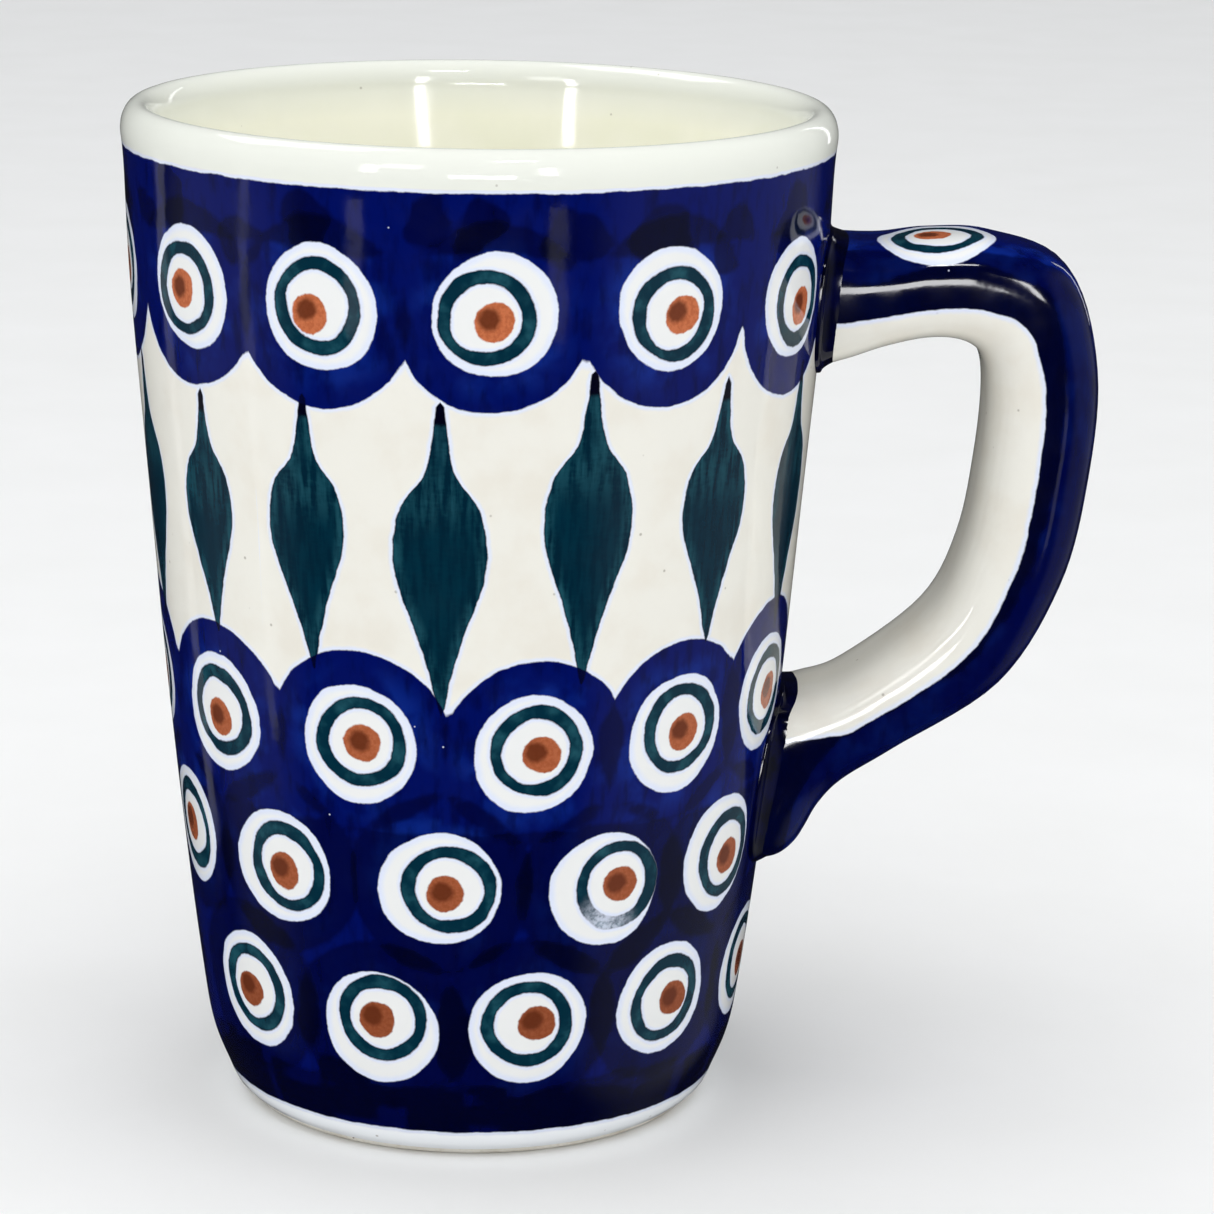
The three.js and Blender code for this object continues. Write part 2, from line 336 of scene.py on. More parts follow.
def draw_leaves(marks, azimuths, heights, radii):
    """Adds the leaves: the distance from the nearest leaf's middle line, and its half-width there."""
    outline = smooth_line(LEAF_OUTLINE, 6)
    turns = np.array([turn_between(azimuths, leaf[0]) for leaf in LEAF_RING])
    nearest = np.argmin(np.abs(turns), axis=0)
    turn = np.take_along_axis(turns, nearest[None], axis=0)[0]
    leans = rng.uniform(-LEAF_LEAN, LEAF_LEAN, len(LEAF_RING))
    top, bottom, widest = (np.array([leaf[k] for leaf in LEAF_RING])[nearest] for k in (1, 2, 3))
    share = (top - heights) / (top - bottom)
    along = np.radians(turn) * radii - leans[nearest] * np.sin(np.pi * np.clip(share, 0, 1))
    beyond = np.maximum(np.maximum(bottom - heights, heights - top), 0)
    marks["leaf_along"] = along
    marks["leaf_near"] = LEAF_REACH - np.abs(along)
    marks["leaf_width"] = np.interp(share, outline[:, 0], outline[:, 1]) * widest - beyond
    marks["tip"] = top - heights


def wall_marks(points):
    """The painting's distances at points on the outside of the wall."""
    azimuths = np.degrees(np.arctan2(points[:, 1], points[:, 0]))
    heights = points[:, 2]
    radii = np.hypot(points[:, 0], points[:, 1])

    def along_from(azimuth):
        return np.radians(turn_between(azimuths, azimuth)) * radii

    marks = blank_marks(len(points))
    discs = []
    for azimuth, height, *shifts in EYES:
        along, up = along_from(azimuth), heights - height
        stamp_eye(marks, along, up, np.array(shifts[:2]), np.array(shifts[2:]))
        shift = rng.uniform(-DISC_SHIFT, DISC_SHIFT, 2)
        lean = math.copysign(DISC_LEAN, BARE_BAND_MIDDLE - height)
        discs.append(wobbly(along - shift[0], up - shift[1] - lean, DISC_RADIUS, random_waves(0.35)))
        if (azimuth, height) == SMUDGED_EYE:
            rubbed = np.array(shifts[:2]) + RING_INSIDE * np.array(SMUDGE_SHIFT)
            marks["smudge"] = wobbly(along - rubbed[0], up - rubbed[1], SMUDGE_RADIUS, random_waves(0.6))
    draw_leaves(marks, azimuths, heights, radii)

    # Brushed fill above the first row and below the last, with round dabs and strokes that overlap it.
    ripple = np.sin(np.radians(azimuths * BAND_WAVES))
    strokes = [heights - TOP_BAND + 0.5 * ripple, LOW_FILL - heights, FOOT_BAND - heights + ripple]
    for azimuth in np.arange(0, 360, STROKE_GAP):
        along = along_from(azimuth + rng.uniform(-STROKE_STRAY, STROKE_STRAY))
        size, middle = rng.uniform(*DAB_SIZES), rng.uniform(*DAB_HEIGHTS)
        strokes.append(wobbly(along, heights - middle, size, random_waves(1.6)))
        width, low = rng.uniform(*STROKE_WIDTHS), rng.uniform(*STROKE_HEIGHTS)
        reach = rng.uniform(*STROKE_REACHES)
        strokes.append(np.minimum(width - np.abs(along), reach - np.abs(heights - low)))
    layers = np.sort(np.array(discs + strokes), axis=0)
    limits = np.minimum(heights - PAINT_FOOT, PAINT_TOP - heights)
    fields = np.maximum(SCALLOP_FIELD - heights, heights - TOP_FIELD)
    marks["cobalt"] = np.minimum(np.maximum(layers[-1], fields), limits)
    marks["disc"] = np.max(discs, axis=0)
    marks["second"] = layers[-2]
    marks["third"] = layers[-3]
    return marks


# ---------------------------------------------------------------- materials


def srgb(red, green, blue):
    """A colour given as 0 to 255 screen values, as the linear RGBA that shaders take."""
    channels = []
    for value in (red, green, blue):
        value /= 255
        channels.append(value / 12.92 if value <= 0.04045 else ((value + 0.055) / 1.055) ** 2.4)
    return (*channels, 1.0)


GROUND = srgb(233, 231, 222)
GROUND_WARM = srgb(225, 219, 206)
FOOT_WHITE = srgb(244, 247, 250)
HALO = srgb(220, 227, 244)
EYE_WHITE = srgb(233, 234, 233)
COBALT_THIN = srgb(8, 34, 118)
COBALT = srgb(0, 12, 88)
COBALT_DEEP = srgb(0, 2, 44)
COBALT_BLACK = srgb(0, 1, 20)
TEAL = srgb(2, 42, 58)
TEAL_DARK = srgb(0, 25, 42)
TEAL_LIGHT = srgb(34, 86, 98)
ORANGE = srgb(194, 110, 72)
ORANGE_DARK = srgb(162, 82, 46)
RUST = srgb(94, 42, 22)
CREAM = srgb(250, 249, 232)
CREAM_POOLED = srgb(243, 243, 221)
LIP_WHITE = srgb(230, 232, 223)
CLAY = srgb(226, 222, 212)
CLAY_DARK = srgb(202, 194, 178)
SPECK = srgb(128, 118, 102)
GLAZE_IOR = 1.45
SOFT_EDGE = 0.12


class Shader:
    """A material whose nodes are added by short calls. Values may be numbers, colours or sockets."""

    def __init__(self, name, roughness):
        self.material = bpy.data.materials.new(name)
        self.material.use_nodes = True
        self.tree = self.material.node_tree
        self.surface = self.tree.nodes["Principled BSDF"]
        self.surface.inputs["IOR"].default_value = GLAZE_IOR
        self.surface.inputs["Roughness"].default_value = roughness
        self.place = self.tree.nodes.new("ShaderNodeTexCoord").outputs["Object"]

    def put(self, socket, value):
        if isinstance(value, bpy.types.NodeSocket):
            self.tree.links.new(value, socket)
        else:
            socket.default_value = value

    def mark(self, name):
        node = self.tree.nodes.new("ShaderNodeAttribute")
        node.attribute_name = name
        return node.outputs["Fac"]

    def math(self, operation, first, second=0.0):
        node = self.tree.nodes.new("ShaderNodeMath")
        node.operation = operation
        self.put(node.inputs[0], first)
        self.put(node.inputs[1], second)
        return node.outputs[0]

    def step(self, value, low, high):
        """Rises smoothly from 0 at low to 1 at high."""
        node = self.tree.nodes.new("ShaderNodeMapRange")
        node.interpolation_type = "SMOOTHSTEP"
        self.put(node.inputs["Value"], value)
        node.inputs["From Min"].default_value = min(low, high)
        node.inputs["From Max"].default_value = max(low, high)
        node.inputs["To Min"].default_value = 0.0 if low < high else 1.0
        node.inputs["To Max"].default_value = 1.0 if low < high else 0.0
        return node.outputs["Result"]

    def mix(self, below, above, share):
        node = self.tree.nodes.new("ShaderNodeMix")
        node.data_type = "RGBA"
        self.put(node.inputs["Factor"], share)
        self.put(node.inputs[6], below)
        self.put(node.inputs[7], above)
        return node.outputs[2]

    def stretched(self, x, y, z):
        """The object's coordinates scaled along each axis."""
        node = self.tree.nodes.new("ShaderNodeMapping")
        node.inputs["Scale"].default_value = (x, y, z)
        self.put(node.inputs["Vector"], self.place)
        return node.outputs["Vector"]

    def height(self):
        """Height above the table in mm."""
        node = self.tree.nodes.new("ShaderNodeSeparateXYZ")
        self.put(node.inputs[0], self.place)
        return self.math("DIVIDE", node.outputs["Z"], MM)

    def noise(self, size, detail=2.0, vector=None):
        """Noise between about 0 and 1, with features of about that size in mm."""
        node = self.tree.nodes.new("ShaderNodeTexNoise")
        node.inputs["Scale"].default_value = 1 / (size * MM)
        node.inputs["Detail"].default_value = detail
        self.put(node.inputs["Vector"], vector or self.place)
        return node.outputs["Fac"]

    def specks(self, spacing, radius, share):
        """1 inside small scattered dots: one cell in so many holds a dot."""
        node = self.tree.nodes.new("ShaderNodeTexVoronoi")
        node.inputs["Scale"].default_value = 1 / (spacing * MM)
        self.put(node.inputs["Vector"], self.place)
        near = self.step(node.outputs["Distance"], radius / spacing, radius / spacing * 0.4)
        split = self.tree.nodes.new("ShaderNodeSeparateColor")
        self.put(split.inputs[0], node.outputs["Color"])
        return self.math("MULTIPLY", near, self.math("LESS_THAN", split.outputs[0], share))

    def bump(self, heights):
        """Joins (height, depth in mm) pairs into one bumped normal."""
        normal = None
        for height, depth in heights:
            node = self.tree.nodes.new("ShaderNodeBump")
            node.inputs["Distance"].default_value = depth * MM
            self.put(node.inputs["Height"], height)
            if normal:
                self.put(node.inputs["Normal"], normal)
            normal = node.outputs["Normal"]
        self.put(self.surface.inputs["Normal"], normal)

    def finish(self, colour, roughness=None):
        self.put(self.surface.inputs["Base Color"], colour)
        if roughness:
            self.put(self.surface.inputs["Roughness"], roughness)
        return self.material


def glaze_surface(shader, low=0.055, high=0.12):
    """The ripple, fine orange peel and uneven gloss of a fired glaze."""
    ripple = shader.noise(9, 1)
    peel = shader.noise(1.1, 2)
    shader.bump([(ripple, 0.10), (peel, 0.006)])
    uneven = shader.step(shader.noise(5, 3), 0.3, 0.7)
    spread = shader.math("MULTIPLY", uneven, high - low)
    return shader.math("ADD", spread, low)


def bare_ground(shader):
    """Off-white body under clear glaze, with faint warm mottling and iron specks."""
    mottled = shader.step(shader.noise(7, 4), 0.42, 0.72)
    colour = shader.mix(GROUND, GROUND_WARM, shader.math("MULTIPLY", mottled, 0.5))
    colour = shader.mix(colour, FOOT_WHITE, shader.step(shader.height(), 6.0, 4.5))
    specks = shader.specks(2.6, 0.26, 0.35)
    return shader.mix(colour, SPECK, shader.math("MULTIPLY", specks, 0.55))


def edge_wobble(shader):
    """A shift of a fraction of a millimetre for every painted edge."""
    slow = shader.math("MULTIPLY", shader.math("SUBTRACT", shader.noise(2.2, 1), 0.5), 0.4)
    quick = shader.math("MULTIPLY", shader.math("SUBTRACT", shader.noise(0.45, 1), 0.5), 0.14)
    return shader.math("ADD", slow, quick)


def cobalt_paint(shader, layers, rim):
    """Brushed cobalt: layers holds the distances inside the second and third layers, which darken it:
    overlapping coats on the wall, painted shade over the strap's sides on the handle.
    """
    patch = shader.noise(6, 3)
    strokes = shader.noise(2.2, 3, shader.stretched(1.6, 1.6, 0.45))
    colour = shader.mix(COBALT_THIN, COBALT, shader.step(patch, 0.34, 0.56))
    colour = shader.mix(colour, COBALT, shader.step(rim, 4.2, 0.3))
    colour = shader.mix(colour, COBALT_DEEP, shader.math("MULTIPLY", shader.step(strokes, 0.45, 0.75), 0.6))
    uneven = shader.math("MULTIPLY", shader.math("SUBTRACT", patch, 0.5), 2.4)
    # The two darker layers: overlapping coats on the wall, painted shade on the strap's sides on the handle.
    second, third = (shader.math("ADD", layer, uneven) for layer in layers)
    colour = shader.mix(colour, COBALT_DEEP, shader.math("MULTIPLY", shader.step(second, -0.25, 0.55), 0.72))
    colour = shader.mix(colour, COBALT_BLACK, shader.math("MULTIPLY", shader.step(third, -0.3, 0.6), 0.75))
    pinholes = shader.specks(3.4, 0.16, 0.10)
    return shader.mix(colour, HALO, shader.math("MULTIPLY", pinholes, 0.7))


def eye_paint(shader, colour, wobble):
    """The stamped eye over what is below it: white disc, green hoop, orange pupil and its dark spot.

    The pupils are laid on more thickly, so darker, low on the cup.
    """
    white = shader.math("ADD", shader.mark("white"), wobble)
    outside = shader.math("ADD", shader.mark("hoop"), wobble)
    hole = shader.math("ADD", shader.mark("hole"), wobble)
    ring = shader.math("MINIMUM", outside, shader.math("MULTIPLY", hole, -1.0))
    speckle = shader.math("MULTIPLY", shader.step(shader.noise(0.55, 3), 0.70, 0.35), 0.5)
    speckle = shader.math("ADD", speckle, 0.25)
    rubbed = shader.math("MULTIPLY", shader.step(shader.mark("smudge"), -2.2, 2.2), speckle)
    pupil = shader.math("ADD", shader.mark("pupil"), wobble)
    paper = shader.mix(HALO, EYE_WHITE, shader.step(white, 0.2, 1.1))
    paper = shader.mix(paper, HALO, shader.step(ring, -0.6, -0.1))
    colour = shader.mix(colour, paper, shader.step(white, -SOFT_EDGE, SOFT_EDGE))
    pooled = shader.step(shader.noise(2.6, 3), 0.42, 0.75)
    green = shader.mix(TEAL, TEAL_LIGHT, shader.math("MULTIPLY", pooled, 0.75))
    green = shader.mix(green, TEAL_DARK, shader.step(ring, 0.35, 0.0))
    held = shader.math("SUBTRACT", 1.0, rubbed)
    colour = shader.mix(colour, green, shader.math("MULTIPLY", shader.step(ring, -0.12, 0.14), held))
    grain = shader.step(shader.noise(0.45, 2), 0.35, 0.65)
    rust = shader.mix(ORANGE, ORANGE_DARK, shader.math("MULTIPLY", grain, 0.55))
    thick = shader.step(shader.height(), HEIGHT * 0.8, 0.0)
    rust = shader.mix(rust, RUST, shader.math("MULTIPLY", thick, 0.65))
    rust = shader.mix(rust, RUST, shader.math("MULTIPLY", shader.step(shader.mark("spot"), -0.5, 0.3), 0.9))
    return shader.mix(colour, rust, shader.step(pupil, -0.12, 0.14))


def painted_wall_material():
    shader = Shader("painted_wall_glaze", 0.08)
    wobble = edge_wobble(shader)
    cobalt = shader.math("ADD", shader.mark("cobalt"), wobble)
    off_middle = shader.math("ABSOLUTE", shader.mark("leaf_along"))
    leaf = shader.math("SUBTRACT", shader.mark("leaf_width"), off_middle)
    leaf = shader.math("ADD", shader.math("MINIMUM", leaf, shader.mark("leaf_near")), wobble)
    nearest = shader.math("MAXIMUM", cobalt, leaf)
    colour = bare_ground(shader)
    colour = shader.mix(colour, HALO, shader.math("MULTIPLY", shader.step(nearest, -0.65, -0.2), 0.9))

    upright = shader.noise(1.1, 3, shader.stretched(1.4, 1.4, 0.16))
    level = shader.noise(0.6, 2, shader.stretched(0.5, 0.5, 1.5))
    strokes = shader.math("ADD", upright, shader.math("MULTIPLY", level, 0.22))
    tip = shader.mark("tip")
    green = shader.mix(TEAL, TEAL_DARK, shader.math("MULTIPLY", shader.step(strokes, 0.78, 0.42), 0.6))
    shoulder = shader.math("MULTIPLY", shader.step(tip, 6.0, 10.0), shader.step(tip, 17.0, 11.0))
    edge = shader.math("MAXIMUM", shader.step(leaf, 1.8, 0.3), shader.math("MULTIPLY", shoulder, 0.8))
    thin = shader.math("MULTIPLY", edge, shader.step(strokes, 0.46, 0.80))
    green = shader.mix(green, TEAL_LIGHT, shader.math("MULTIPLY", thin, 0.6))
    green = shader.mix(green, TEAL_DARK, shader.step(leaf, 0.3, 0.0))
    green = shader.mix(green, COBALT_BLACK, shader.step(tip, 3.0, 2.2))
    colour = shader.mix(colour, green, shader.step(leaf, -0.1, 0.12))

    layers = (shader.mark("second"), shader.mark("third"))
    blue = cobalt_paint(shader, layers, shader.mark("disc"))
    blue = shader.mix(blue, COBALT_BLACK, shader.math("MULTIPLY", shader.step(leaf, -0.1, 0.2), 0.8))
    colour = shader.mix(colour, blue, shader.step(cobalt, -SOFT_EDGE, SOFT_EDGE))
    colour = eye_paint(shader, colour, wobble)

    return shader.finish(colour, glaze_surface(shader))


def painted_handle_material():
    shader = Shader("painted_handle_glaze", 0.08)
    wobble = edge_wobble(shader)
    cobalt = shader.math("ADD", shader.mark("cobalt"), wobble)
    colour = bare_ground(shader)
    colour = shader.mix(colour, HALO, shader.math("MULTIPLY", shader.step(cobalt, -0.8, -0.2), 0.9))
    # The second and third layers on the strap are painted shade: they darken its sides and leave its outer
    # face lighter.
    blue = cobalt_paint(shader, (shader.mark("second"), shader.mark("third")), 9.0)
    colour = shader.mix(colour, blue, shader.step(cobalt, -SOFT_EDGE, SOFT_EDGE))
    return shader.finish(eye_paint(shader, colour, wobble), glaze_surface(shader))


def slip_material():
    shader = Shader("dark_cobalt_slip", 0.09)
    patch = shader.step(shader.noise(4, 3), 0.4, 0.68)
    colour = shader.mix(COBALT_BLACK, COBALT_DEEP, patch)
    return shader.finish(colour, glaze_surface(shader, 0.06, 0.14))


def cream_material():
    shader = Shader("cream_glaze", 0.1)
    mottled = shader.step(shader.noise(9, 4), 0.35, 0.75)
    inside = shader.mix(CREAM, CREAM_POOLED, shader.math("MULTIPLY", mottled, 0.6))
    colour = shader.mix(inside, LIP_WHITE, shader.mark("lip"))
    specks = shader.specks(3.0, 0.24, 0.25)
    colour = shader.mix(colour, SPECK, shader.math("MULTIPLY", specks, 0.45))
    return shader.finish(colour, glaze_surface(shader, 0.05, 0.11))


def base_material():
    shader = Shader("underside_glaze", 0.14)
    rings = shader.noise(5, 3)
    colour = shader.mix(CREAM, CREAM_POOLED, shader.step(rings, 0.35, 0.7))
    colour = shader.mix(colour, SPECK, shader.math("MULTIPLY", shader.specks(2.2, 0.25, 0.4), 0.5))
    return shader.finish(colour, glaze_surface(shader, 0.08, 0.2))


def clay_material():
    shader = Shader("bare_stoneware", 0.75)
    grain = shader.noise(0.6, 4)
    patch = shader.noise(6, 3)
    colour = shader.mix(CLAY, CLAY_DARK, shader.step(patch, 0.4, 0.75))
    colour = shader.mix(colour, CLAY_DARK, shader.math("MULTIPLY", shader.step(grain, 0.5, 0.75), 0.5))
    colour = shader.mix(colour, SPECK, shader.specks(1.3, 0.2, 0.3))
    shader.bump([(grain, 0.05), (shader.noise(0.25, 2), 0.02)])
    return shader.finish(colour, shader.math("ADD", shader.math("MULTIPLY", grain, 0.25), 0.6))


# ---------------------------------------------------------------- the cup

WALL_ROW = 0.95
LIP_START = -19
QUARTER_TURN = 45
QUARTER_COLUMNS = 73
COAT_SEGMENTS = 240
CLAY_SEGMENTS = 160
wall_line = even_steps(smooth_line(WALL_OUTLINE, 12), WALL_ROW)
lip_line = arc(LIP_CENTRE, (LIP_THICKNESS / 2, LIP_HALF_HEIGHT), LIP_START, 180, 26)
floor_middle = (INSIDE_OUTLINE[-1][0] - FLOOR_ROUNDING - FLOOR_INSET, FLOOR_TOP + FLOOR_ROUNDING)
floor_line = arc(floor_middle, (FLOOR_ROUNDING, FLOOR_ROUNDING), 0, -90, 14)
inside_line = np.vstack([smooth_line(INSIDE_OUTLINE, 8)[1:-1], floor_line])


def wall_radius(height):
    """Radius of the glazed outside of the wall at a height."""
    return np.interp(height, wall_line[:, 1], wall_line[:, 0])


def quarter_points(middle):
    """Points over a quarter of the painted coat: all of its outer face, then all of its inner face."""
    azimuths = np.linspace(middle - QUARTER_TURN, middle + QUARTER_TURN, QUARTER_COLUMNS)
    outer = turned(wall_line, azimuths)
    inner = turned(offset(wall_line, -GLAZE), azimuths)
    return np.vstack([outer.reshape(-1, 3), inner.reshape(-1, 3)])


def quarter_faces():
    """The faces that close a quarter's outer and inner faces into a shell as thick as the glaze."""
    rows, columns = len(wall_line), QUARTER_COLUMNS
    under = rows * columns
    faces = grid_faces(rows, columns)
    faces += [face[::-1] for face in grid_faces(rows, columns, under)]
    top = (rows - 1) * columns
    for i in range(columns - 1):
        faces.append((i + 1, i, under + i, under + i + 1))
        faces.append((top + i, top + i + 1, under + top + i + 1, under + top + i))
    for j in range(rows - 1):
        a, b = j * columns, (j + 1) * columns
        faces.append((a, b, under + b, under + a))
        faces.append((b + columns - 1, a + columns - 1, under + a + columns - 1, under + b + columns - 1))
    return faces


QUARTERS = {
    "wall_glaze_front": -90, "wall_glaze_handle_side": 0, "wall_glaze_back": 90, "wall_glaze_far_side": 180,
}
painted_wall = painted_wall_material()
quarters = [quarter_points(middle) for middle in QUARTERS.values()]
painting = wall_marks(np.vstack(quarters))
for i, name in enumerate(QUARTERS):
    own = slice(i * len(quarters[i]), (i + 1) * len(quarters[i]))
    marks = {mark: values[own] for mark, values in painting.items()}
    piece = make_piece(name, quarters[i], quarter_faces(), painted_wall, marks)
    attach(piece, "root")
    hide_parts("outer_glaze")


def lip_whiteness(points):
    """1 on the lip, fading to 0 down the inside."""
    radii = np.hypot(points[:, 0], points[:, 1])
    inside = radii < LIP_CENTRE[0]
    fade = np.clip((points[:, 2] - (HEIGHT - LIP_FADE_LOW)) / LIP_FADE, 0, 1)
    return {"lip": np.where(inside, fade, 1.0)}


coat_top = np.vstack([[(wall_line[-1, 0], RIM_COAT_EDGE)], lip_line[1:], inside_line])
coat_under = offset(coat_top, -GLAZE)
coat_outline = np.vstack([[(0, FLOOR_TOP - GLAZE)], coat_under[::-1], coat_top, [(0, FLOOR_TOP)]])
inner_coat = revolved("inner_and_lip_glaze", coat_outline, COAT_SEGMENTS, cream_material(), lip_whiteness)
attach(inner_coat, "root")
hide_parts("inner_glaze")

foot_ring = np.vstack([
    [(0, FOOT_RECESS + CLAY_INSET), (FOOT_RING_INSIDE - FOOT_RECESS / 2, FOOT_RECESS + CLAY_INSET)],
    arc((FOOT_RING_INSIDE + FOOT_INNER_BEVEL, FOOT_INNER_BEVEL), (FOOT_INNER_BEVEL,) * 2, -180, -90, 5),
    arc((FOOT_RADIUS - FOOT_BEVEL, FOOT_BEVEL), (FOOT_BEVEL,) * 2, -90, -8, 6),
])
clay_outside = offset(np.vstack([wall_line[2::4], lip_line[1::2], inside_line[::2]]), -CLAY_INSET)
clay_outline = np.vstack([foot_ring, clay_outside, [(0, FLOOR_TOP - CLAY_INSET)]])
clay_body = revolved("clay_body", clay_outline, CLAY_SEGMENTS, clay_material())
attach(clay_body, "root")
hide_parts("cup_body")

base_radius = FOOT_RING_INSIDE - FOOT_RECESS / 2 - BASE_EDGE_GAP
base_steps = np.linspace(0, base_radius - BASE_EDGE_ROUNDING * 1.2, 12)
base_face = [(r, FOOT_RECESS + BASE_SAG * (1 - (r / base_radius) ** 2)) for r in base_steps]
edge_middle = (base_radius - BASE_EDGE_ROUNDING, FOOT_RECESS + GLAZE)
base_edge = arc(edge_middle, (BASE_EDGE_ROUNDING, GLAZE), -90, 0, 5)
base_outline = np.vstack([base_face, base_edge, [(0, FOOT_RECESS + GLAZE + BASE_MIDDLE_EXTRA)]])
base_coat = revolved("underside_glaze", base_outline, CLAY_SEGMENTS, base_material())
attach(base_coat, "root")
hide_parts("base_glaze")

# ---------------------------------------------------------------- the handle

HANDLE_ROWS = 7
SECTION_POINTS = 72
CUFF_ROUNDS = 12
CUFF_SMOOTHING = 3
CUFF_ROWS = 40
sections = smooth_line(HANDLE_SECTIONS, HANDLE_ROWS)
section_angle = np.arange(SECTION_POINTS) * 2 * math.pi / SECTION_POINTS


def flattened(value):
    return np.sign(value) * np.abs(value) ** (2 / SECTION_EXPONENT)


def handle_rings(grown):
    """Rings of points round the strap, grown by a distance, and each ring's centre and outward direction."""
    inner = sections[:, [0, 1]]
    outer = sections[:, [2, 3]]
    centre = (inner + outer) / 2
    reach = np.linalg.norm(outer - inner, axis=1) / 2
    outward = (outer - centre) / reach[:, None]
    across = flattened(np.cos(section_angle))[None, :] * (reach + grown)[:, None]
    side = flattened(np.sin(section_angle))[None, :] * (sections[:, 4] / 2 + grown)[:, None]
    x = centre[:, 0:1] + across * outward[:, 0:1]
    z = centre[:, 1:2] + across * outward[:, 1:2]
    return np.stack([x, side, z], axis=-1), centre, outward


# The stamped eye on the handle: its x, its distance round the strap, and its shifts.
HANDLE_EYE = (56.6, 3.6)
HANDLE_RING = (0.0, 0.2)
HANDLE_PUPIL = (-0.5, 0.6)
HANDLE_TOP = 90
OFF_EYE = 30.0
# Painted shade on the strap: beyond these distances round the strap from the middle of its outer face, the
# cobalt is darkened once and then again, so its sides read darker than its outer face.
SIDE_SHADE_START = 7.5
SIDE_DEEP_SHADE_START = 11.5
# Where the cobalt starts across the strap, as (section number, distance from its middle).
STRAP_PAINT_EDGE = ((0, -1.8), (4, -1.8), (5.5, -1.3), (7, -0.4), (11.5, -0.4), (13, -2.8), (14, -9.0))


def handle_marks(rings, centre, outward):
    """The painting's distances over the strap, and the painted shade that darkens its sides."""
    from_centre = rings[..., [0, 2]] - centre[:, None, :]
    toward_outside = (from_centre * outward[:, None, :]).sum(-1)
    share = np.linspace(0, 1, len(rings))[:, None]
    edge = np.interp(share * (len(HANDLE_SECTIONS) - 1), *zip(*STRAP_PAINT_EDGE))
    step = np.linalg.norm(np.diff(rings, axis=1, append=rings[:, :1]), axis=-1)
    round_ring = np.concatenate([np.zeros((len(rings), 1)), np.cumsum(step, axis=1)[:, :-1]], axis=1)
    whole = step.sum(axis=1)[:, None]
    lateral = np.where(round_ring > whole / 2, round_ring - whole, round_ring)
    marks = blank_marks(rings.shape[0] * rings.shape[1])
    on_top = (toward_outside > -2) & (rings[..., 2] >= HANDLE_TOP)
    along = np.where(on_top, rings[..., 0] - HANDLE_EYE[0], OFF_EYE)
    up = lateral + HANDLE_EYE[1]
    stamp_eye(marks, along.ravel(), up.ravel(), np.array(HANDLE_RING), np.array(HANDLE_PUPIL))
    marks["cobalt"] = (toward_outside - edge).ravel()
    # Painted shade, held in the second and third layers: the cobalt darkens towards the strap's sides, about
    # a middle line that wanders a little along the strap.
    middle = np.interp(share, np.linspace(0, 1, 9), rng.uniform(-3, 3, 9))
    marks["second"] = (np.abs(lateral + middle) - SIDE_SHADE_START).ravel()
    marks["third"] = (np.abs(lateral - middle) - SIDE_DEEP_SHADE_START).ravel()
    return marks


def capped_tube(name, rings, middles, material, marks=None):
    """A closed solid through rings of points, with its two ends closed at the middles given."""
    count, around = rings.shape[:2]
    points = np.vstack([rings.reshape(-1, 3), middles])
    first = count * around
    faces = grid_faces(count, around, closed=True)
    last = (count - 1) * around
    faces += [(first, (i + 1) % around, i) for i in range(around)]
    faces += [(first + 1, last + i, last + (i + 1) % around) for i in range(around)]
    if marks:
        marks = {mark: np.r_[values, NOWHERE, NOWHERE] for mark, values in marks.items()}
    return make_piece(name, points, faces, material, marks, sharp=60)


def settled(rings):
    """The rings, with whatever lies deep inside the wall brought up to just under its surface."""
    reach = np.hypot(rings[..., 0], rings[..., 1])
    least = wall_radius(rings[..., 2]) - ROOT_DEPTH
    grow = np.maximum(least / reach, 1.0)
    return rings * np.stack([grow, grow, np.ones_like(grow)], axis=-1)


strap_rings, strap_centre, strap_outward = handle_rings(0.0)
strap_ends = np.array([[c[0], 0, c[1]] for c in (strap_centre[0], strap_centre[-1])])
strap = capped_tube("handle_strap", settled(strap_rings), settled(strap_ends), painted_handle_material(),
                    handle_marks(strap_rings, strap_centre, strap_outward))
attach(strap, "root")
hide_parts("handle", "handle_glaze")


def unit(vectors):
    return vectors / np.linalg.norm(vectors, axis=-1, keepdims=True)


def evened(points):
    """Points round a closed loop with their small jumps smoothed away."""
    for _ in range(CUFF_SMOOTHING):
        points = (np.roll(points, 1, axis=0) + 2 * points + np.roll(points, -1, axis=0)) / 4
    return points


def strap_lines(from_top, reach, inner_reach):
    """Where each line along the strap leaves the wall, and its points a little and all the way on."""
    rows = strap_rings if from_top else strap_rings[::-1]
    inward = np.clip(-np.cos(section_angle), 0, 1)
    found = []
    for i in range(SECTION_POINTS):
        line = rows[:, i]
        outside = np.hypot(line[:, 0], line[:, 1]) - wall_radius(line[:, 2])
        j = int(np.argmax(outside > 0))
        share = outside[j - 1] / (outside[j - 1] - outside[j])
        run = np.vstack([line[j - 1] + share * (line[j] - line[j - 1]), line[j:j + CUFF_ROWS]])
        length = np.r_[0, np.cumsum(np.linalg.norm(np.diff(run, axis=0), axis=1))]
        far = reach + (inner_reach - reach) * inward[i]
        places = np.array([0.0, CUFF_NEAR, 1.0]) * far
        found.append([[np.interp(place, length, run[:, k]) for k in range(3)] for place in places])
    return (evened(points) for points in np.array(found).transpose(1, 0, 2))


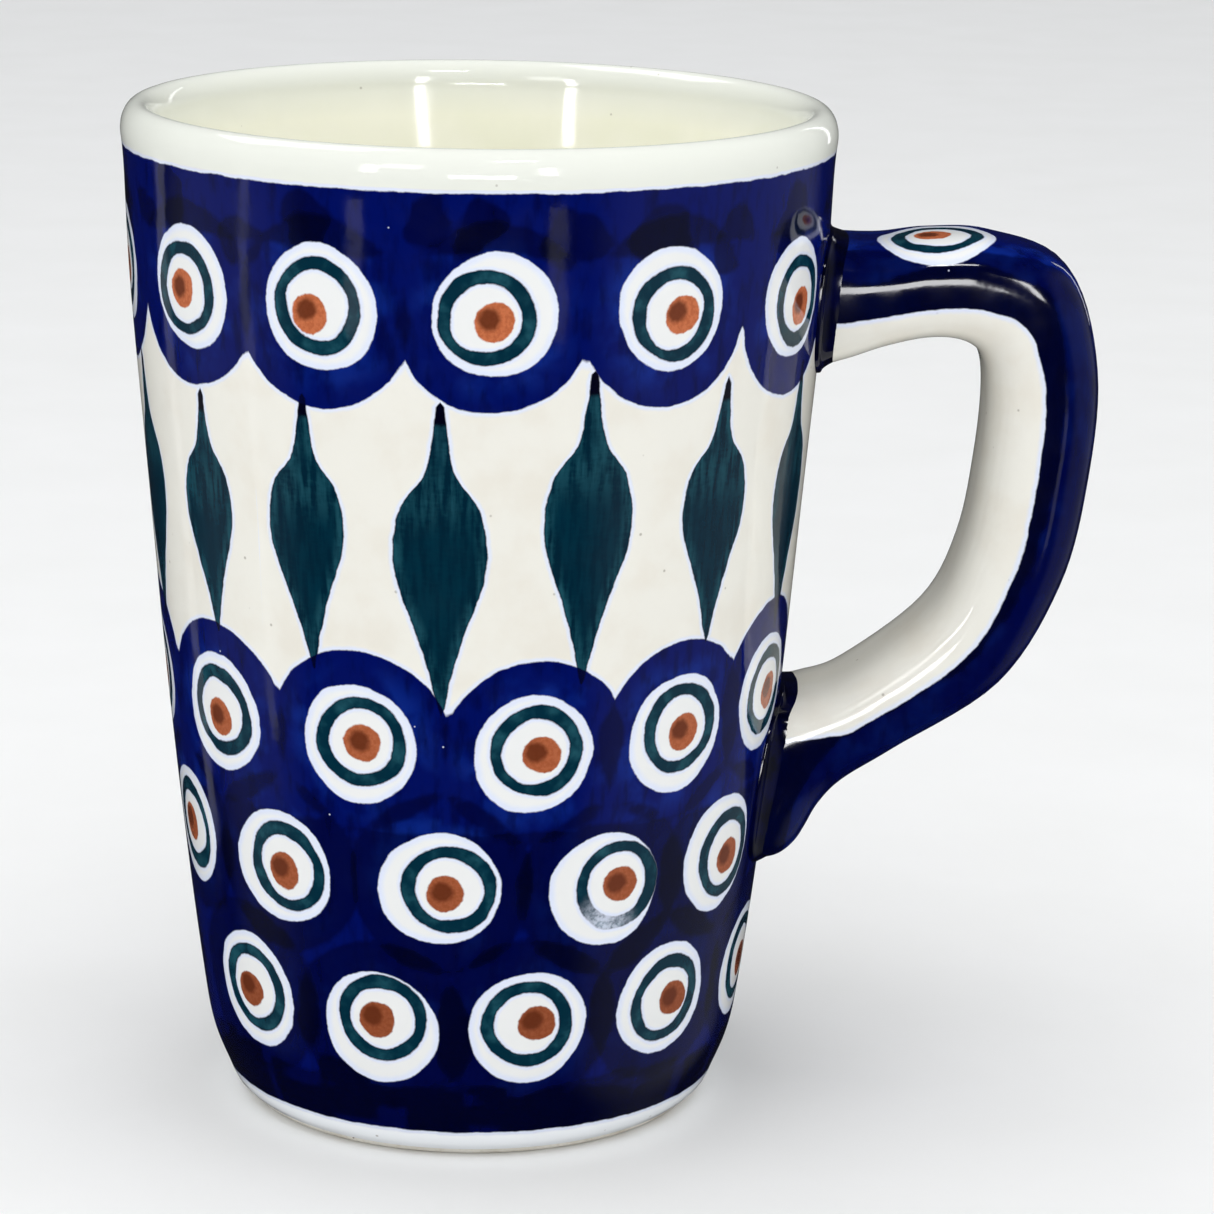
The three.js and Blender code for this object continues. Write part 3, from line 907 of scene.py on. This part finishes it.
def cuff(name, from_top, side_reach, end_reach, reach, inner_reach, material):
    """Slip round a joint: a low rounded step on the wall that sweeps up in a hollow curve onto the strap."""
    joint, near, far = strap_lines(from_top, reach, inner_reach)
    along = unit(np.roll(joint, -1, axis=0) - np.roll(joint, 1, axis=0))
    out = unit(joint * (1, 1, 0))
    away = unit(np.cross(along, out))
    if ((joint - joint.mean(axis=0)) * away).sum() < 0:
        away = -away
    level = np.abs(away[:, 2:])
    spread = side_reach + (end_reach - side_reach) * level
    edge = away * spread
    brim = joint + edge * CUFF_BRIM + out * CUFF_STEP
    bend = near + away * CUFF_BEND
    end = far - away * CUFF_SINK
    rings = [joint - away - out * CUFF_DEPTH, joint + edge - out * CUFF_DEPTH]
    rings += [joint + edge * reached + out * CUFF_STEP * risen for reached, risen in CUFF_EDGE]
    for t in np.linspace(0, 1, CUFF_ROUNDS):
        rings.append(brim * (1 - t) ** 2 + bend * 2 * t * (1 - t) + end * t**2)
    rings.append(far - away)
    rings = np.array(rings).transpose(1, 0, 2)
    points = rings.reshape(-1, 3)
    sides = rings.shape[1]
    faces = []
    for i in range(SECTION_POINTS):
        here, there = i * sides, (i + 1) % SECTION_POINTS * sides
        for k in range(sides):
            after = (k + 1) % sides
            faces.append((here + k, here + after, there + after, there + k))
    a, b, c = (points[[face[k] for face in faces]] for k in range(3))
    if (np.cross(b, c) * a).sum() < 0:
        faces = [face[::-1] for face in faces]
    return make_piece(name, points, faces, material)


slip = slip_material()
# From the top or not, reach along the wall at the sides and the ends, reach along the strap outside and in.
CUFFS = (
    ("upper_slip_bead", "upper_slip_collar", (True, 1.3, 1.0, 3.2, 2.9)),
    ("lower_slip_bead", "lower_slip_collar", (False, 2.2, 0.4, 5.2, 3.0)),
)
for name, node, shape in CUFFS:
    piece = cuff(name, *shape, slip)
    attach(piece, "root")
    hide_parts(node)

# ---------------------------------------------------------------- floor, light and camera


def floor_material():
    shader = Shader("pale_floor", 0.6)
    grain = shader.noise(30, 4)
    return shader.finish(shader.mix(srgb(240, 240, 238), srgb(246, 246, 245), grain))


FLOOR_SIZE = 4.0
corners = [(-1, -1, 0), (1, -1, 0), (1, 1, 0), (-1, 1, 0)]
floor_mesh = bpy.data.meshes.new("floor")
floor_mesh.from_pydata([(x * FLOOR_SIZE, y * FLOOR_SIZE, 0) for x, y, z in corners], [], [(0, 1, 2, 3)])
floor_mesh.materials.append(floor_material())
floor = bpy.data.objects.new("floor", floor_mesh)
bpy.context.scene.collection.objects.link(floor)
floor.visible_glossy = False

CUP_TOP = Vector((AXIS_X, 0, HEIGHT)) * MM


def panel(name, azimuth, elevation, distance, width, height, brightness):
    """A soft light panel that faces the cup's top, at an azimuth from +X and an elevation in degrees."""
    light = bpy.data.lights.new(name, "AREA")
    light.shape = "RECTANGLE"
    light.size = width
    light.size_y = height
    light.energy = brightness * math.pi * width * height
    lamp = bpy.data.objects.new(name, light)
    turn, rise = math.radians(azimuth), math.radians(elevation)
    away = Vector((math.cos(rise) * math.cos(turn), math.cos(rise) * math.sin(turn), math.sin(rise)))
    lamp.location = CUP_TOP + away * distance
    lamp.rotation_euler = away.to_track_quat("Z", "Y").to_euler()
    lamp.visible_camera = False
    bpy.context.scene.collection.objects.link(lamp)
    return lamp


# Azimuth, elevation, distance, width, height, brightness.
FILLS = {
    "overhead": (-100, 76, 1.5, 1.6, 1.6, 1.35), "front_fill": (-96, 16, 1.6, 0.9, 0.6, 1.75),
    "left_fill": (-168, 11, 1.5, 0.7, 0.5, 0.9), "right_fill": (-12, 9, 1.5, 0.7, 0.5, 1.3),
}
for name, placing in FILLS.items():
    panel(name, *placing).visible_glossy = False
# Seen only as reflections, in the same order.
REFLECTIONS = (
    (-124, 14, 1.6, 0.12, 0.55, 20), (-68, 14, 1.6, 0.12, 0.55, 20), (-130, -15, 1.6, 0.14, 0.16, 0.8),
    (-65, -15, 1.6, 0.14, 0.16, 0.6), (-76, 48, 1.3, 0.26, 0.08, 26), (-89, 0, 1.3, 0.46, 0.20, 17),
    (57, 9, 1.2, 0.06, 0.62, 2.5), (-115, 24, 1.3, 0.25, 0.28, 5), (150, 58, 1.3, 0.7, 0.7, 5),
    (147, -18, 1.2, 0.12, 0.35, 0.4), (-170, -18, 1.2, 0.07, 0.35, 0.6),
)
for placing in REFLECTIONS:
    panel("reflection", *placing).visible_diffuse = False

world = bpy.data.worlds.new("studio")
world.use_nodes = True
bpy.context.scene.world = world
nodes = world.node_tree.nodes
links = world.node_tree.links
rays = nodes.new("ShaderNodeLightPath")
direction = nodes.new("ShaderNodeSeparateXYZ")
links.new(nodes.new("ShaderNodeTexCoord").outputs["Generated"], direction.inputs[0])


def world_range(low, high, least, most):
    """Rises from least to most as a direction's x goes from low to high."""
    node = nodes.new("ShaderNodeMapRange")
    node.interpolation_type = "SMOOTHSTEP"
    links.new(direction.outputs["X"], node.inputs["Value"])
    for socket, value in zip(("From Min", "From Max", "To Min", "To Max"), (low, high, least, most)):
        node.inputs[socket].default_value = value
    return node.outputs["Result"]


def world_mix(share, first, second):
    """One colour, or another by the share. Colours may be sockets."""
    node = nodes.new("ShaderNodeMix")
    node.data_type = "RGBA"
    links.new(share, node.inputs["Factor"])
    for socket, value in ((node.inputs[6], first), (node.inputs[7], second)):
        if isinstance(value, tuple):
            socket.default_value = value
        else:
            links.new(value, socket)
    return node.outputs[2]


sides = nodes.new("ShaderNodeMath")
sides.operation = "ADD"
links.new(world_range(-0.97, -0.80, 1.0, 0.0), sides.inputs[0])
links.new(world_range(0.52, 0.78, 0.0, 1.0), sides.inputs[1])
mirrored = world_mix(sides.outputs[0], (0.010, 0.010, 0.012, 1), (0.20, 0.205, 0.20, 1))
soft = world_mix(rays.outputs["Is Glossy Ray"], (0.80, 0.81, 0.83, 1), mirrored)
seen = world_mix(rays.outputs["Is Camera Ray"], soft, (0.97, 0.97, 0.97, 1))
links.new(seen, nodes["Background"].inputs["Color"])

CAMERA_DISTANCE = 4.222 * HEIGHT
CAMERA_HEIGHT = 1.550 * HEIGHT
CAMERA_PITCH = math.radians(14.02)
CAMERA_YAW = math.radians(1.78)
CAMERA_ROLL = math.radians(0.98)
SENSOR_WIDTH = 36
LENS = 129.2
camera_data = bpy.data.cameras.new("camera")
camera_data.sensor_width = SENSOR_WIDTH
camera_data.lens = LENS
camera = bpy.data.objects.new("camera", camera_data)
bpy.context.scene.collection.objects.link(camera)
level = math.cos(CAMERA_PITCH)
forward = Vector((math.sin(CAMERA_YAW) * level, math.cos(CAMERA_YAW) * level, -math.sin(CAMERA_PITCH)))
level_right = Vector((math.cos(CAMERA_YAW), -math.sin(CAMERA_YAW), 0))
level_up = level_right.cross(forward)
right = level_right * math.cos(CAMERA_ROLL) + level_up * math.sin(CAMERA_ROLL)
up = level_up * math.cos(CAMERA_ROLL) - level_right * math.sin(CAMERA_ROLL)
camera.matrix_world = Matrix.Translation(Vector((AXIS_X, -CAMERA_DISTANCE, CAMERA_HEIGHT)) * MM) @ Matrix(
    (right, up, -forward)).transposed().to_4x4()
bpy.context.scene.camera = camera
bpy.context.scene.view_settings.view_transform = "Standard"
